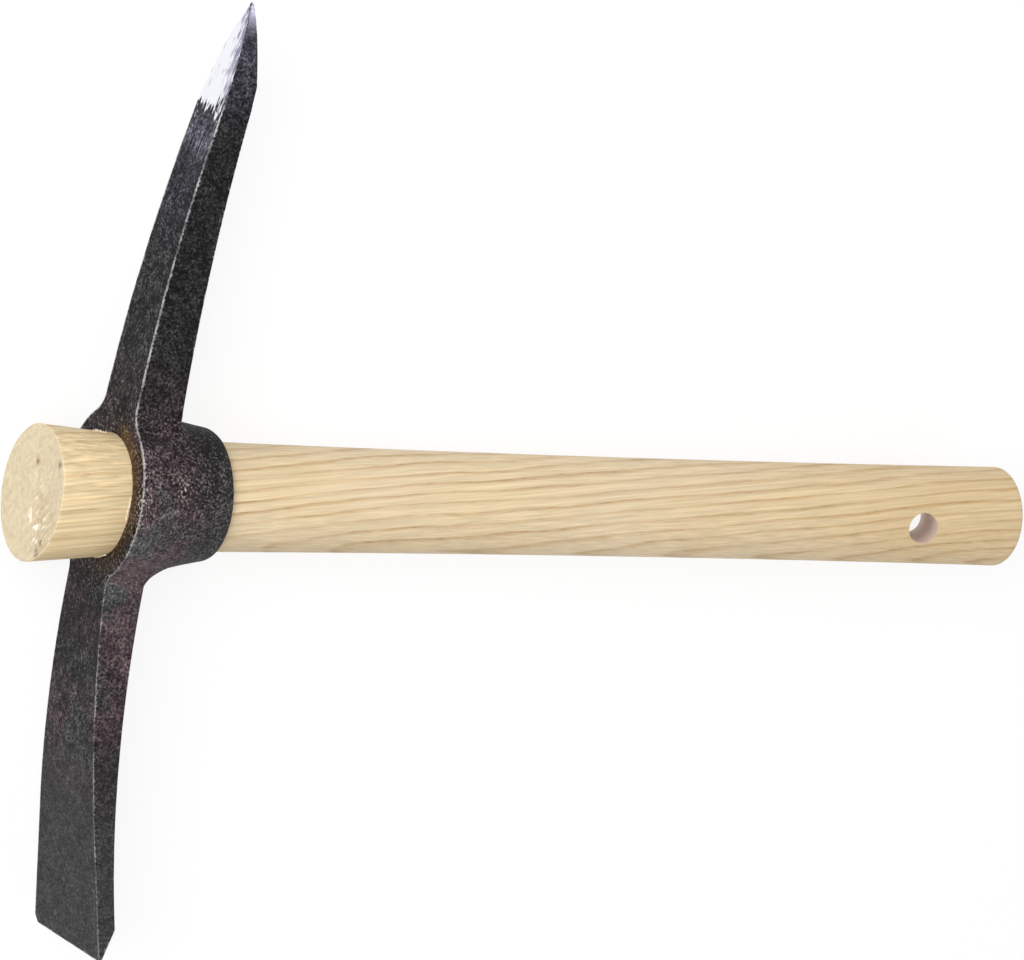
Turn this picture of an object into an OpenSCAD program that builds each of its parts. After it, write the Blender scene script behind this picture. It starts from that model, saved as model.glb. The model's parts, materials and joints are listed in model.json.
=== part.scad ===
// Hand pick-mattock: a forged head with a pick arm and an adze blade, on a drop-in ash handle.
// The tool lies on its side. X runs along the handle to the grip, Y towards the pick's point, Z up.

/* [Handle] */
// Length of the handle
handle_l = 380; // [320:1:480]
// Diameter of the flared end face
flare_d = 44.6; // [43:0.1:52]
// Diameter where the flare ends and the seat of the head begins
seat_top_d = 40.8; // [39:0.1:42]
// Diameter at the low end of the seat, at the collar's rim
seat_low_d = 36.1; // [36:0.1:37.5]
// Diameter at the waist of the grip
waist_d = 34; // [30:0.1:35.5]
// Diameter at the grip end
grip_d = 35.4; // [31:0.1:35.6]
// Round on the edge of the grip end
end_round = 1; // [0.5:0.1:3]
// Skew of the sawn flared end
saw_skew = 5; // [0:0.5:8]

/* [Hanging hole] */
// Diameter of the hole
hole_d = 11; // [6:0.5:14]
// Distance of the hole's middle from the grip end
hole_from_end = 34.2; // [28:0.1:60]
// Distance of the hole's middle below the handle's axis
hole_off = 2.8; // [0:0.1:4]
// Slant of the hole along the handle
hole_slant = 26; // [0:1:32]
// Turn of the hole about the handle
hole_roll = 6; // [0:1:15]

/* [Eye] */
// Length of handle that stands proud of the head
proud = 25; // [15:0.5:40]
// Depth of the eye along the handle
eye_depth = 37.5; // [34:0.5:45]
// Diameter of the eye at its top edge
eye_d = 57.6; // [54:0.1:64]
// Offset of the eye's outside from its bore, towards the pick
eye_off = 0.8; // [0:0.1:2]
// Diameter of the collar at its rim
collar_d = 43; // [42.5:0.5:48]
// Round of the collar's rim
rim_round = 2.4; // [1:0.1:2.8]
// Radial clearance between the seat and the eye
seat_gap = 0.05; // [0.02:0.01:0.1]
// Length of the seat above the eye
seat_over = 3; // [2:0.5:6]

/* [Pick] */
// Reach of the pick from the handle's axis to its tip
pick_l = 163; // [130:1:220]
// Drop of the tip towards the grip
tip_drop = 29.6; // [24:0.1:40]
// Length of the ground point
point_l = 34; // [20:1:50]
// Drop of the top face where the ground point begins
neck_drop = 19.6; // [10:0.1:22]
// How far beyond the start of the point its underside is ground
heel_past_neck = 8; // [2:0.5:15]
// Drop of the underside where its grinding begins
heel_drop = 31.2; // [28:0.1:40]
// Width of the pick beside the eye
pick_root_w = 23.2; // [18:0.1:27]
// Width where the ground point begins
neck_w = 18.2; // [12:0.1:22]
// Swell of each side of the ground point
point_belly = 1.2; // [0:0.1:2]
// Thickness of the pick beside the eye
pick_root_t = 16.4; // [14:0.1:20]
// Width and thickness of the blunt tip
tip_t = 1.6; // [0.8:0.1:4]
// Bend radius of the pick's top face
pick_top_r = 680; // [400:10:2000]
// Bend radius of the pick's underside
pick_under_r = 800; // [400:10:2000]

/* [Blade] */
// Reach of the blade from the handle's axis to the middle of its edge
blade_l = 152.1; // [125:0.5:200]
// Reach at which the blade's bend ends and its flat begins
flat_from = 105; // [90:1:112]
// Drop of the top face at the start of the flat
flat_drop = 2.4; // [0:0.1:5]
// Drop of the cutting edge towards the grip
edge_drop = 8.9; // [6:0.1:16]
// Width of the blade beside the eye
blade_root_w = 28.4; // [24:0.1:32]
// Width of the cutting edge
edge_w = 51; // [40:0.5:54]
// Thickness of the blade beside the eye
blade_root_t = 13.4; // [11:0.1:16]
// Thickness of the blade where the bevel begins
blade_end_t = 6; // [4:0.1:8]
// Length of the bevel behind the edge
bevel_l = 10.4; // [6:0.1:16]
// Thickness left at the cutting edge
edge_t = 0.7; // [0.5:0.1:1.5]
// Skew of the cutting edge
edge_skew = 3.5; // [0:0.5:5]
// Length cut off the far corner of the edge
corner_cut = 2.6; // [1:0.1:6]
// Bend radius of the blade's top face
blade_top_r = 510; // [300:10:1200]
// Bend radius of the blade's underside
blade_under_r = 470; // [300:10:1200]

/* [Blends] */
// Fillet between the eye and the sides of the arms
side_fillet = 7.6; // [4:0.1:12]
// Fillet between the collar and the pick's underside
pick_fillet = 7; // [3:0.1:8]
// Fillet between the collar and the blade's underside
blade_fillet = 14; // [6:0.1:15]
// Reach of each arm's root beyond the eye's edge
root_past_eye = 5; // [3:0.5:8]

/* [Hidden] */
$fn = 96;
// Steps along each long curve
curve_steps = 24;
// Steps along each short curve
short_steps = 10;
// Steps from each side to the middle of a fillet's front
front_steps = 4;
// How far a fillet is sunk into what it joins
sink = 0.1;
// Power by which a fillet fades at the eye: 1 is as steep as at the arm, smaller is more even
root_fade = 0.25;
// Distance from the handle's axis at which each arm starts, inside the bore
arm_start = 10;
// How far a cutting shape runs past what it cuts
over = 6;

eye_r = eye_d / 2;
collar_r = collar_d / 2;
eye_low = proud + eye_depth;
root_y = eye_r + root_past_eye;

// The eye's outside is a cone from its top edge to the collar's rim
eye_taper = (eye_r - collar_r) / eye_depth;
eye_slope = sqrt(1 + eye_taper * eye_taper);
function eye_radius(x) = eye_r - eye_taper * (x - proud);

// The seat is a cone too, and the bore follows it at the named clearance
seat_from = proud - seat_over;
seat_taper = (seat_top_d - seat_low_d) / 2 / (eye_low - seat_from);
function seat_radius(x) = seat_top_d / 2 - seat_taper * (x - seat_from);

// Points of the side view, as [along the handle, along the arms]
crown = [proud, 0];
neck = [proud + neck_drop, pick_l - point_l];
heel = [proud + heel_drop, pick_l - point_l + heel_past_neck];
tip = [proud + tip_drop, pick_l];
flat_start = [proud + flat_drop, -flat_from];
edge = [proud + edge_drop, -blade_l];

// The skewed edge reaches furthest where the cut corner meets it
skew_rate = tan(edge_skew);
corner_y = -blade_l - edge_w / 2 * skew_rate;
lowest_y = corner_y + corner_cut / (1 + skew_rate) * skew_rate;

// The sawn end slants, so the flare reaches furthest on the blade's side
flare_taper = (flare_d - seat_top_d) / 2 / seat_from;
saw_rate = tan(saw_skew);
saw_reach = flare_d / 2 * saw_rate / (1 - flare_taper * saw_rate);

// The part's frame has its origin under the middle of the tool's box
to_frame = [(saw_reach - handle_l) / 2, -(pick_l + lowest_y) / 2, eye_r];

function lerp(a, b, t) = a + (b - a) * t;

// The value at y on the straight line from a to b, each [value, y]
function line_at(a, b, y) = lerp(a[0], b[0], (y - a[1]) / (b[1] - a[1]));

// The x at y on the arc of radius r through a and b, which bows towards the handle's flared end
function arc_at(a, b, r, y) =
    let (
        chord = b - a,
        length = norm(chord),
        inward = sign(chord[1]) * [chord[1], -chord[0]] / length,
        centre = (a + b) / 2 + inward * sqrt(r * r - length * length / 4)
    )
    centre[0] - sqrt(r * r - pow(y - centre[1], 2));

// Top line of the head in the side view
function top_at(y) =
    y > neck[1] ? line_at(neck, [tip[0] - tip_t / 2, tip[1]], y) :
    y > 0 ? arc_at(crown, neck, pick_top_r, y) :
    y > flat_start[1] ? arc_at(crown, flat_start, blade_top_r, y) :
    line_at(flat_start, edge, y);

// Underside of each arm in the side view
pick_root = [top_at(root_y) + pick_root_t, root_y];
blade_root = [top_at(-root_y) + blade_root_t, -root_y];
bevel_start = [top_at(bevel_l - blade_l) + blade_end_t, bevel_l - blade_l];
function pick_under(y) =
    y > heel[1] ? line_at(heel, [tip[0] + tip_t / 2, tip[1]], y) : arc_at(pick_root, heel, pick_under_r, y);
function blade_under(y) =
    y < bevel_start[1] ? line_at(bevel_start, [edge[0] + edge_t, edge[1]], y) :
    arc_at(blade_root, bevel_start, blade_under_r, y);

// Half width of each arm in the front view
function pick_half(y) =
    let (along_point = (y - neck[1]) / point_l)
    y < neck[1] ? line_at([pick_root_w / 2, root_y], [neck_w / 2, neck[1]], y) :
    lerp(neck_w, tip_t, along_point) / 2 + point_belly * 4 * along_point * (1 - along_point);
function blade_half(y) = line_at([blade_root_w / 2, -root_y], [edge_w / 2, edge[1]], y);

// Either arm, by the side of the handle's axis on which y lies
function arm_under(y) = y > 0 ? pick_under(y) : blade_under(y);
function arm_half(y) = y > 0 ? pick_half(y) : blade_half(y);

// Middle of the fillet between an arm's side and an eye of radius r in the front view, as [reach, z]
function fillet_middle(half, r) =
    [sqrt(pow(r + side_fillet, 2) - pow(half + side_fillet, 2)), half + side_fillet];

// Reach at which that fillet touches the eye
function fillet_start(half, r) = fillet_middle(half, r)[0] * r / (r + side_fillet);

// Half width of an arm with the fillet that runs its side into an eye of radius r
function filleted(reach, half, r) =
    let (middle = fillet_middle(half, r))
    reach < fillet_start(half, r) ? middle[1] * reach / middle[0] :
    reach < middle[0] ? middle[1] - sqrt(side_fillet * side_fillet - pow(middle[0] - reach, 2)) :
    half;

// Four corners of an arm's section, its top lifted clear of the cut that shapes the top face
function section(y, under, half, skew) =
    let (
        top = top_at(y),
        reach = abs(y - eye_off),
        top_half = filleted(reach, half, eye_radius(top)),
        low_half = filleted(reach, half, eye_radius(under)),
        lifted_half = top_half + (top_half - low_half) * over / (under - top)
    )
    [
        [top - over, y + lifted_half * skew, lifted_half],
        [under, y + low_half * skew, low_half],
        [under, y - low_half * skew, -low_half],
        [top - over, y - lifted_half * skew, -lifted_half]
    ];

// Solid through a row of sections with as many corners each, every one seen whole from its first corner
module loft(sections) {
    corners = len(sections[0]);
    last = corners * (len(sections) - 1);
    sides = [
        for (i = [0 : len(sections) - 2], k = [0 : corners - 1])
            let (a = corners * i + k, b = corners * i + (k + 1) % corners)
            each [[a, b, b + corners], [a, b + corners, a + corners]]
    ];
    ends = [for (k = [1 : corners - 2]) each [[k + 1, k, 0], [last, last + k, last + k + 1]]];
    polyhedron(points = [for (s = sections) each s], faces = concat(sides, ends));
}

// Lays a shape drawn about Z along the handle
module along_handle() {
    rotate([0, 90, 0]) children();
}

// Lays it about the middle of the eye's outside
module about_eye() {
    translate([0, eye_off, 0]) along_handle() children();
}

function stations(from, to, count) = [for (i = [1 : count]) lerp(from, to, i / count)];

// Both arms run from the pick's end towards the blade's
module pick_arm() {
    ys = concat(
        [tip[1]],
        stations(tip[1], heel[1], short_steps),
        [neck[1]],
        stations(neck[1], root_y, curve_steps),
        stations(root_y, arm_start, curve_steps)
    );
    loft([for (y = ys) section(y, pick_under(y), pick_half(y), 0)]);
}

// The skew grows along the flat and is whole from the bevel on
module blade_arm() {
    ys = concat(
        [-arm_start],
        stations(-arm_start, -root_y, curve_steps),
        stations(-root_y, flat_start[1], curve_steps),
        stations(flat_start[1], bevel_start[1], short_steps),
        [edge[1]]
    );
    function skew_at(y) = skew_rate * max(0, min(1, (flat_start[1] - y) / (flat_start[1] - bevel_start[1])));
    loft([for (y = ys) section(y, blade_under(y), blade_half(y), skew_at(y))]);
}

// Outside of the eye, with the collar's round rim
module eye_boss() {
    round_x = eye_low - rim_round;
    round_r = eye_radius(round_x) - rim_round * eye_slope;
    cone_angle = atan(1 / eye_taper);
    rim = [
        for (i = [0 : short_steps])
            let (a = lerp(cone_angle, 0, i / short_steps))
            [round_r + rim_round * sin(a), round_x + rim_round * cos(a)]
    ];
    about_eye() rotate_extrude()
        polygon(concat([[0, proud - over], [eye_radius(proud - over), proud - over]], rim, [[0, eye_low]]));
}

// Fillet of radius r between the collar and the underside of an arm. Round the eye it fades out just as the
// arm's side fillet does, so arm, eye and collar run into one another without a step.
module under_fillet(r, direction) {
    function y_at(reach) = eye_off + direction * reach;

    // Its middle lies at r from the cone and from the underside, which is near enough straight here
    slope = arm_under(y_at(root_y + 1)) - arm_under(y_at(root_y));
    stretch = sqrt(1 + slope * slope);
    level = arm_under(y_at(root_y)) - slope * root_y + r * stretch;
    middle_r = (eye_radius(level) + r * eye_slope) / (1 + eye_taper * slope);
    middle_x = level + slope * middle_r;
    cone_angle = atan(eye_taper);
    under_angle = 90 + atan(slope);
    curve = [
        for (i = [0 : short_steps])
            let (a = lerp(cone_angle, under_angle, i / short_steps))
            [middle_x - r * sin(a), middle_r - r * cos(a)]
    ];
    end = curve[short_steps];

    // The arm's plan at its underside, as [angle round the eye, share of the fillet that is left there]
    function plan_at(reach) =
        let (
            eye = eye_radius(arm_under(y_at(reach))),
            half = filleted(reach, arm_half(y_at(reach)), eye)
        )
        [atan2(half, reach), (min(norm([reach, half]), end[1]) - eye) / (end[1] - eye)];
    start = fillet_start(arm_half(y_at(eye_r)), eye_radius(end[0]));
    side = [for (reach = concat([start], stations(start, end[1], short_steps))) plan_at(reach)];
    front = [for (a = stations(side[short_steps][0], 0, front_steps)) [a, 1]];
    half_plan = concat(side, front);
    last = len(half_plan) - 1;
    plan = concat([for (p = half_plan) [-p[0], p[1]]], [for (i = [last - 1 : -1 : 0]) half_plan[i]]);

    // Where less of it is left, it runs down to the collar more evenly
    full = end[1] - eye_radius(end[0]);
    function slice(x, reach) =
        let (left = max(0, reach - eye_radius(x)) / full)
        concat([[x, 0, 0]], [
            for (p = plan)
                let (radius = eye_radius(x) + full * p[1] * pow(left, lerp(root_fade, 1, p[1])) - sink)
                [x, radius * cos(p[0]), radius * sin(p[0])]
        ]);
    inside_arm = slice(end[0] - r / 2, end[1] - r / 4);
    translate([0, eye_off, 0]) rotate([direction > 0 ? 0 : 180, 0, 0])
        loft(concat([for (c = curve) slice(c[0], c[1])], [inside_arm]));
}

// Everything below the head's top line
module below_top() {
    ys = concat(
        [edge[1] - over, flat_start[1]],
        stations(flat_start[1], 0, curve_steps),
        stations(0, neck[1], curve_steps),
        [tip[1] + over]
    );
    far = eye_low + over;
    linear_extrude(height = eye_d + 2 * over, center = true)
        polygon(concat([for (y = ys) [top_at(y), y]], [[far, tip[1] + over], [far, edge[1] - over]]));
}

// Tapered bore that the handle drops through
module bore() {
    from = proud - over;
    to = eye_low + over;
    translate([from, 0, 0]) along_handle()
        cylinder(h = to - from, r1 = seat_radius(from) + seat_gap, r2 = seat_radius(to) + seat_gap);
}

module head() {
    color("#3f3d40") translate(to_frame) difference() {
        intersection() {
            union() {
                pick_arm();
                blade_arm();
                eye_boss();
                under_fillet(pick_fillet, 1);
                under_fillet(blade_fillet, -1);
            }
            below_top();
        }
        bore();
        translate([edge[0], corner_y, -edge_w / 2]) rotate([45, 0, 0])
            cube([2 * (blade_end_t + over), corner_cut * sqrt(2), corner_cut * sqrt(2)], center = true);
    }
}

// The grip's radius runs smoothly from the seat through the waist to the end
function grip_radius(t) =
    (seat_low_d * (1 - t) * (1 - 2 * t) + waist_d * 4 * t * (1 - t) + grip_d * t * (2 * t - 1)) / 2;

module handle() {
    grip_edge = [
        for (i = [0 : short_steps])
            let (a = 90 * i / short_steps)
            [grip_d / 2 - end_round * (1 - cos(a)), handle_l - end_round * (1 - sin(a))]
    ];
    flare_and_seat = [
        [flare_d / 2 + flare_taper * over, -over],
        [seat_top_d / 2, seat_from],
        [seat_low_d / 2, eye_low]
    ];
    grip = [
        for (i = [1 : curve_steps - 1])
            let (t = i / curve_steps)
            [grip_radius(t), lerp(eye_low, handle_l - end_round, t)]
    ];
    color("#dcc498") translate(to_frame) difference() {
        along_handle() rotate_extrude()
            polygon(concat([[0, -over]], flare_and_seat, grip, grip_edge, [[0, handle_l]]));
        rotate([0, 0, -saw_skew]) translate([-2 * over, -flare_d, -flare_d])
            cube([2 * over, 2 * flare_d, 2 * flare_d]);
        translate([handle_l - hole_from_end, -hole_off, 0]) rotate([-hole_roll, -hole_slant, 0])
            cylinder(h = grip_d / cos(hole_slant) + 2 * over, d = hole_d, center = true);
    }
}

handle();
head();
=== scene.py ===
"""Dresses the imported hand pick-mattock: a forged steel head on a turned ash handle.

The tool lies on its side on the floor. X runs along the handle from its flared, sawn end to the grip,
Y towards the pick's point and Z up. All lengths are in metres unless a name says mm.
"""

import json
import math

import bmesh
import bpy
import numpy as np
from mathutils import Euler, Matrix, Vector, kdtree, noise


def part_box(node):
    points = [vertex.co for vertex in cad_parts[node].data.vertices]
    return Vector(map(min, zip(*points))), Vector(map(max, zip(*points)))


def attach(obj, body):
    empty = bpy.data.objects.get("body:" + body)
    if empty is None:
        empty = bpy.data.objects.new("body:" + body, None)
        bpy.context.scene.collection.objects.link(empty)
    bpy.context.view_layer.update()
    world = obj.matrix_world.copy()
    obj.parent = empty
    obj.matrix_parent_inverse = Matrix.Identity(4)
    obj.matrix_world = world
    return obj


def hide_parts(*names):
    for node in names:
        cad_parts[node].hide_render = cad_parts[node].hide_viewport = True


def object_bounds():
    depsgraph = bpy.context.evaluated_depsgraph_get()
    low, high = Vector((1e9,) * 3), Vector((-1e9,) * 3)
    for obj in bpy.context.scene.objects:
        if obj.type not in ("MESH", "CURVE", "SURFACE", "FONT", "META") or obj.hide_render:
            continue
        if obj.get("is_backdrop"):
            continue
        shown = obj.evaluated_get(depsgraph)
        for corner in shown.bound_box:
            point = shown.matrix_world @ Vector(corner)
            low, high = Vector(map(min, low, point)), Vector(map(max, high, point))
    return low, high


bl_info = {
    "name": "Hand Pick-Mattock",
    "version": (1, 0, 0),
    "blender": (4, 5, 0),
    "location": "View3D > Sidebar > Pick-Mattock",
    "description": "Builds the finished look of a hand pick-mattock around its packed CAD frame",
    "category": "Object",
}

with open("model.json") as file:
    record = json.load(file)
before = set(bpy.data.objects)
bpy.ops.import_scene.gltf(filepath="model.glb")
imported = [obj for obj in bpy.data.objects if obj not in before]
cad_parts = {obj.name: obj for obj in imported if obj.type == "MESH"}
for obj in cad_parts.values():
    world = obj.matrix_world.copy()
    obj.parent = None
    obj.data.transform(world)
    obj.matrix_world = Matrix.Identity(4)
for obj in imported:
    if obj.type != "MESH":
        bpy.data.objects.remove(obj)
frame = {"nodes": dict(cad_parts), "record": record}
CAD_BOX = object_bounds()

MM = 0.001

MOUNTS = {mount["name"]: mount for mount in frame["record"]["mounts"]}
GRIP_END = Vector(MOUNTS["grip_end"]["pos_m"])
HOLE_MIDDLE = Vector(MOUNTS["hanging_hole"]["pos_m"])
HOLE_AXIS = Vector(MOUNTS["hanging_hole"]["axis"])
HOLE_RADIUS = MOUNTS["hanging_hole"]["dims"]["r_mm"] * MM
HOLE_LENGTH = MOUNTS["hanging_hole"]["dims"]["length_mm"] * MM
HEAD_LOW, HEAD_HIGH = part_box("head")
TOOL_AXIS_Y = GRIP_END.y
TOOL_AXIS_Z = GRIP_END.z


def linear(hex_colour):
    """Turns an sRGB hex colour into the linear RGBA that sockets take."""
    channels = [int(hex_colour[i : i + 2], 16) / 255 for i in (1, 3, 5)]
    return [c / 12.92 if c <= 0.04045 else ((c + 0.055) / 1.055) ** 2.4 for c in channels] + [1.0]


def put(tree, kind, inputs=None, out=None, **settings):
    """Adds a node, sets or links its inputs and gives its named output or its first live one."""
    node = tree.nodes.new(kind)
    for name, value in settings.items():
        setattr(node, name, value)
    for key, value in (inputs or {}).items():
        if isinstance(value, bpy.types.NodeSocket):
            tree.links.new(value, node.inputs[key])
        else:
            node.inputs[key].default_value = value
    return node.outputs[out] if out else next((socket for socket in node.outputs if socket.enabled), None)


def new_material(name):
    """Makes an empty node material and gives it with its tree."""
    material = bpy.data.materials.new(name)
    material.use_nodes = True
    material.node_tree.nodes.clear()
    return material, material.node_tree


def close_material(tree, inputs):
    """Ends a material in a Principled shader with the given inputs."""
    put(tree, "ShaderNodeOutputMaterial", {"Surface": put(tree, "ShaderNodeBsdfPrincipled", inputs)})


# Sizes and colours that a user would change


class HandleSettings(bpy.types.PropertyGroup):
    """Sizes of the turned ash handle and of its grain."""

    flare_d: bpy.props.FloatProperty(
        name="Flared End", description="Diameter of the sawn, flared end", default=44.6 * MM, unit="LENGTH"
    )
    seat_top_d: bpy.props.FloatProperty(
        name="Seat Top",
        description="Diameter where the flare meets the seat",
        default=40.8 * MM,
        unit="LENGTH",
    )
    seat_low_d: bpy.props.FloatProperty(
        name="Seat Low End", description="Diameter at the collar's rim", default=36.1 * MM, unit="LENGTH"
    )
    waist_d: bpy.props.FloatProperty(
        name="Waist", description="Diameter at the waist of the grip", default=34 * MM, unit="LENGTH"
    )
    grip_d: bpy.props.FloatProperty(
        name="Grip End", description="Diameter at the grip end", default=35.4 * MM, unit="LENGTH"
    )
    flare_l: bpy.props.FloatProperty(
        name="Flare", description="Length of the flare", default=22 * MM, unit="LENGTH"
    )
    seat_end: bpy.props.FloatProperty(
        name="Seat End",
        description="Distance of the seat's low end from the sawn end",
        default=62.5 * MM,
        unit="LENGTH",
    )
    end_round: bpy.props.FloatProperty(
        name="End Round", description="Round on the edge of the grip end", default=1 * MM, unit="LENGTH"
    )
    saw_round: bpy.props.FloatProperty(
        name="Sawn Edge", description="Break on the edge of the sawn end", default=0.3 * MM, unit="LENGTH"
    )
    saw_skew: bpy.props.FloatProperty(
        name="Saw Skew", description="Skew of the sawn end", default=math.radians(5), subtype="ANGLE"
    )
    ring_w: bpy.props.FloatProperty(
        name="Growth Ring", description="Width of one year's growth", default=3.6 * MM, unit="LENGTH"
    )
    tear_depth: bpy.props.FloatProperty(
        name="Torn Grain",
        description="Depth of the torn grain on the sawn end",
        default=1.1 * MM,
        unit="LENGTH",
    )
    pale_wood: bpy.props.StringProperty(
        name="Pale Wood", description="Colour of the wide late wood", default="#ecd8b8"
    )
    tan_wood: bpy.props.StringProperty(
        name="Tan Wood", description="Colour of the porous early wood lines", default="#c19c6a"
    )
    torn_wood: bpy.props.StringProperty(
        name="Torn Wood", description="Colour of freshly torn fibres", default="#fdf8ec"
    )


class HeadSettings(bpy.types.PropertyGroup):
    """Finish of the forged head."""

    cell: bpy.props.FloatProperty(
        name="Cell", description="Size of the mesh's cells", default=0.65 * MM, unit="LENGTH"
    )
    seat_gap: bpy.props.FloatProperty(
        name="Seat Gap",
        description="Radial clearance between the eye and the handle",
        default=0.05 * MM,
        unit="LENGTH",
    )
    wear_w: bpy.props.FloatProperty(
        name="Worn Line",
        description="Width of the worn line on each side of an edge",
        default=0.6 * MM,
        unit="LENGTH",
    )
    dent: bpy.props.FloatProperty(
        name="Hammer Marks", description="Depth of the hammer marks", default=0.16 * MM, unit="LENGTH"
    )
    point_l: bpy.props.FloatProperty(
        name="Ground Point",
        description="Length of the point that is ground bright",
        default=34 * MM,
        unit="LENGTH",
    )
    scale_colour: bpy.props.StringProperty(
        name="Forge Scale", description="Colour of the dark forge scale", default="#393939"
    )
    bloom_colour: bpy.props.StringProperty(
        name="Brown Bloom", description="Colour of the brown bloom on the scale", default="#45393c"
    )
    violet_colour: bpy.props.StringProperty(
        name="Heat Tint", description="Colour of the heat tint behind the ground point", default="#38373f"
    )
    worn_colour: bpy.props.StringProperty(
        name="Worn Steel", description="Colour of the worn edges", default="#c6c2c4"
    )
    steel_colour: bpy.props.StringProperty(
        name="Bright Steel", description="Colour of the ground point", default="#f3f4fa"
    )


class StageSettings(bpy.types.PropertyGroup):
    """Floor, lights and camera."""

    lens: bpy.props.FloatProperty(
        name="Lens", description="Focal length in mm on a 36 mm sensor", default=175.78
    )
    key_power: bpy.props.FloatProperty(
        name="Key Light", description="Power of the large soft light in watts", default=21.0
    )
    sky: bpy.props.FloatProperty(
        name="Sky", description="Strength of the light from all around", default=0.52
    )


# Finishes


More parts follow.
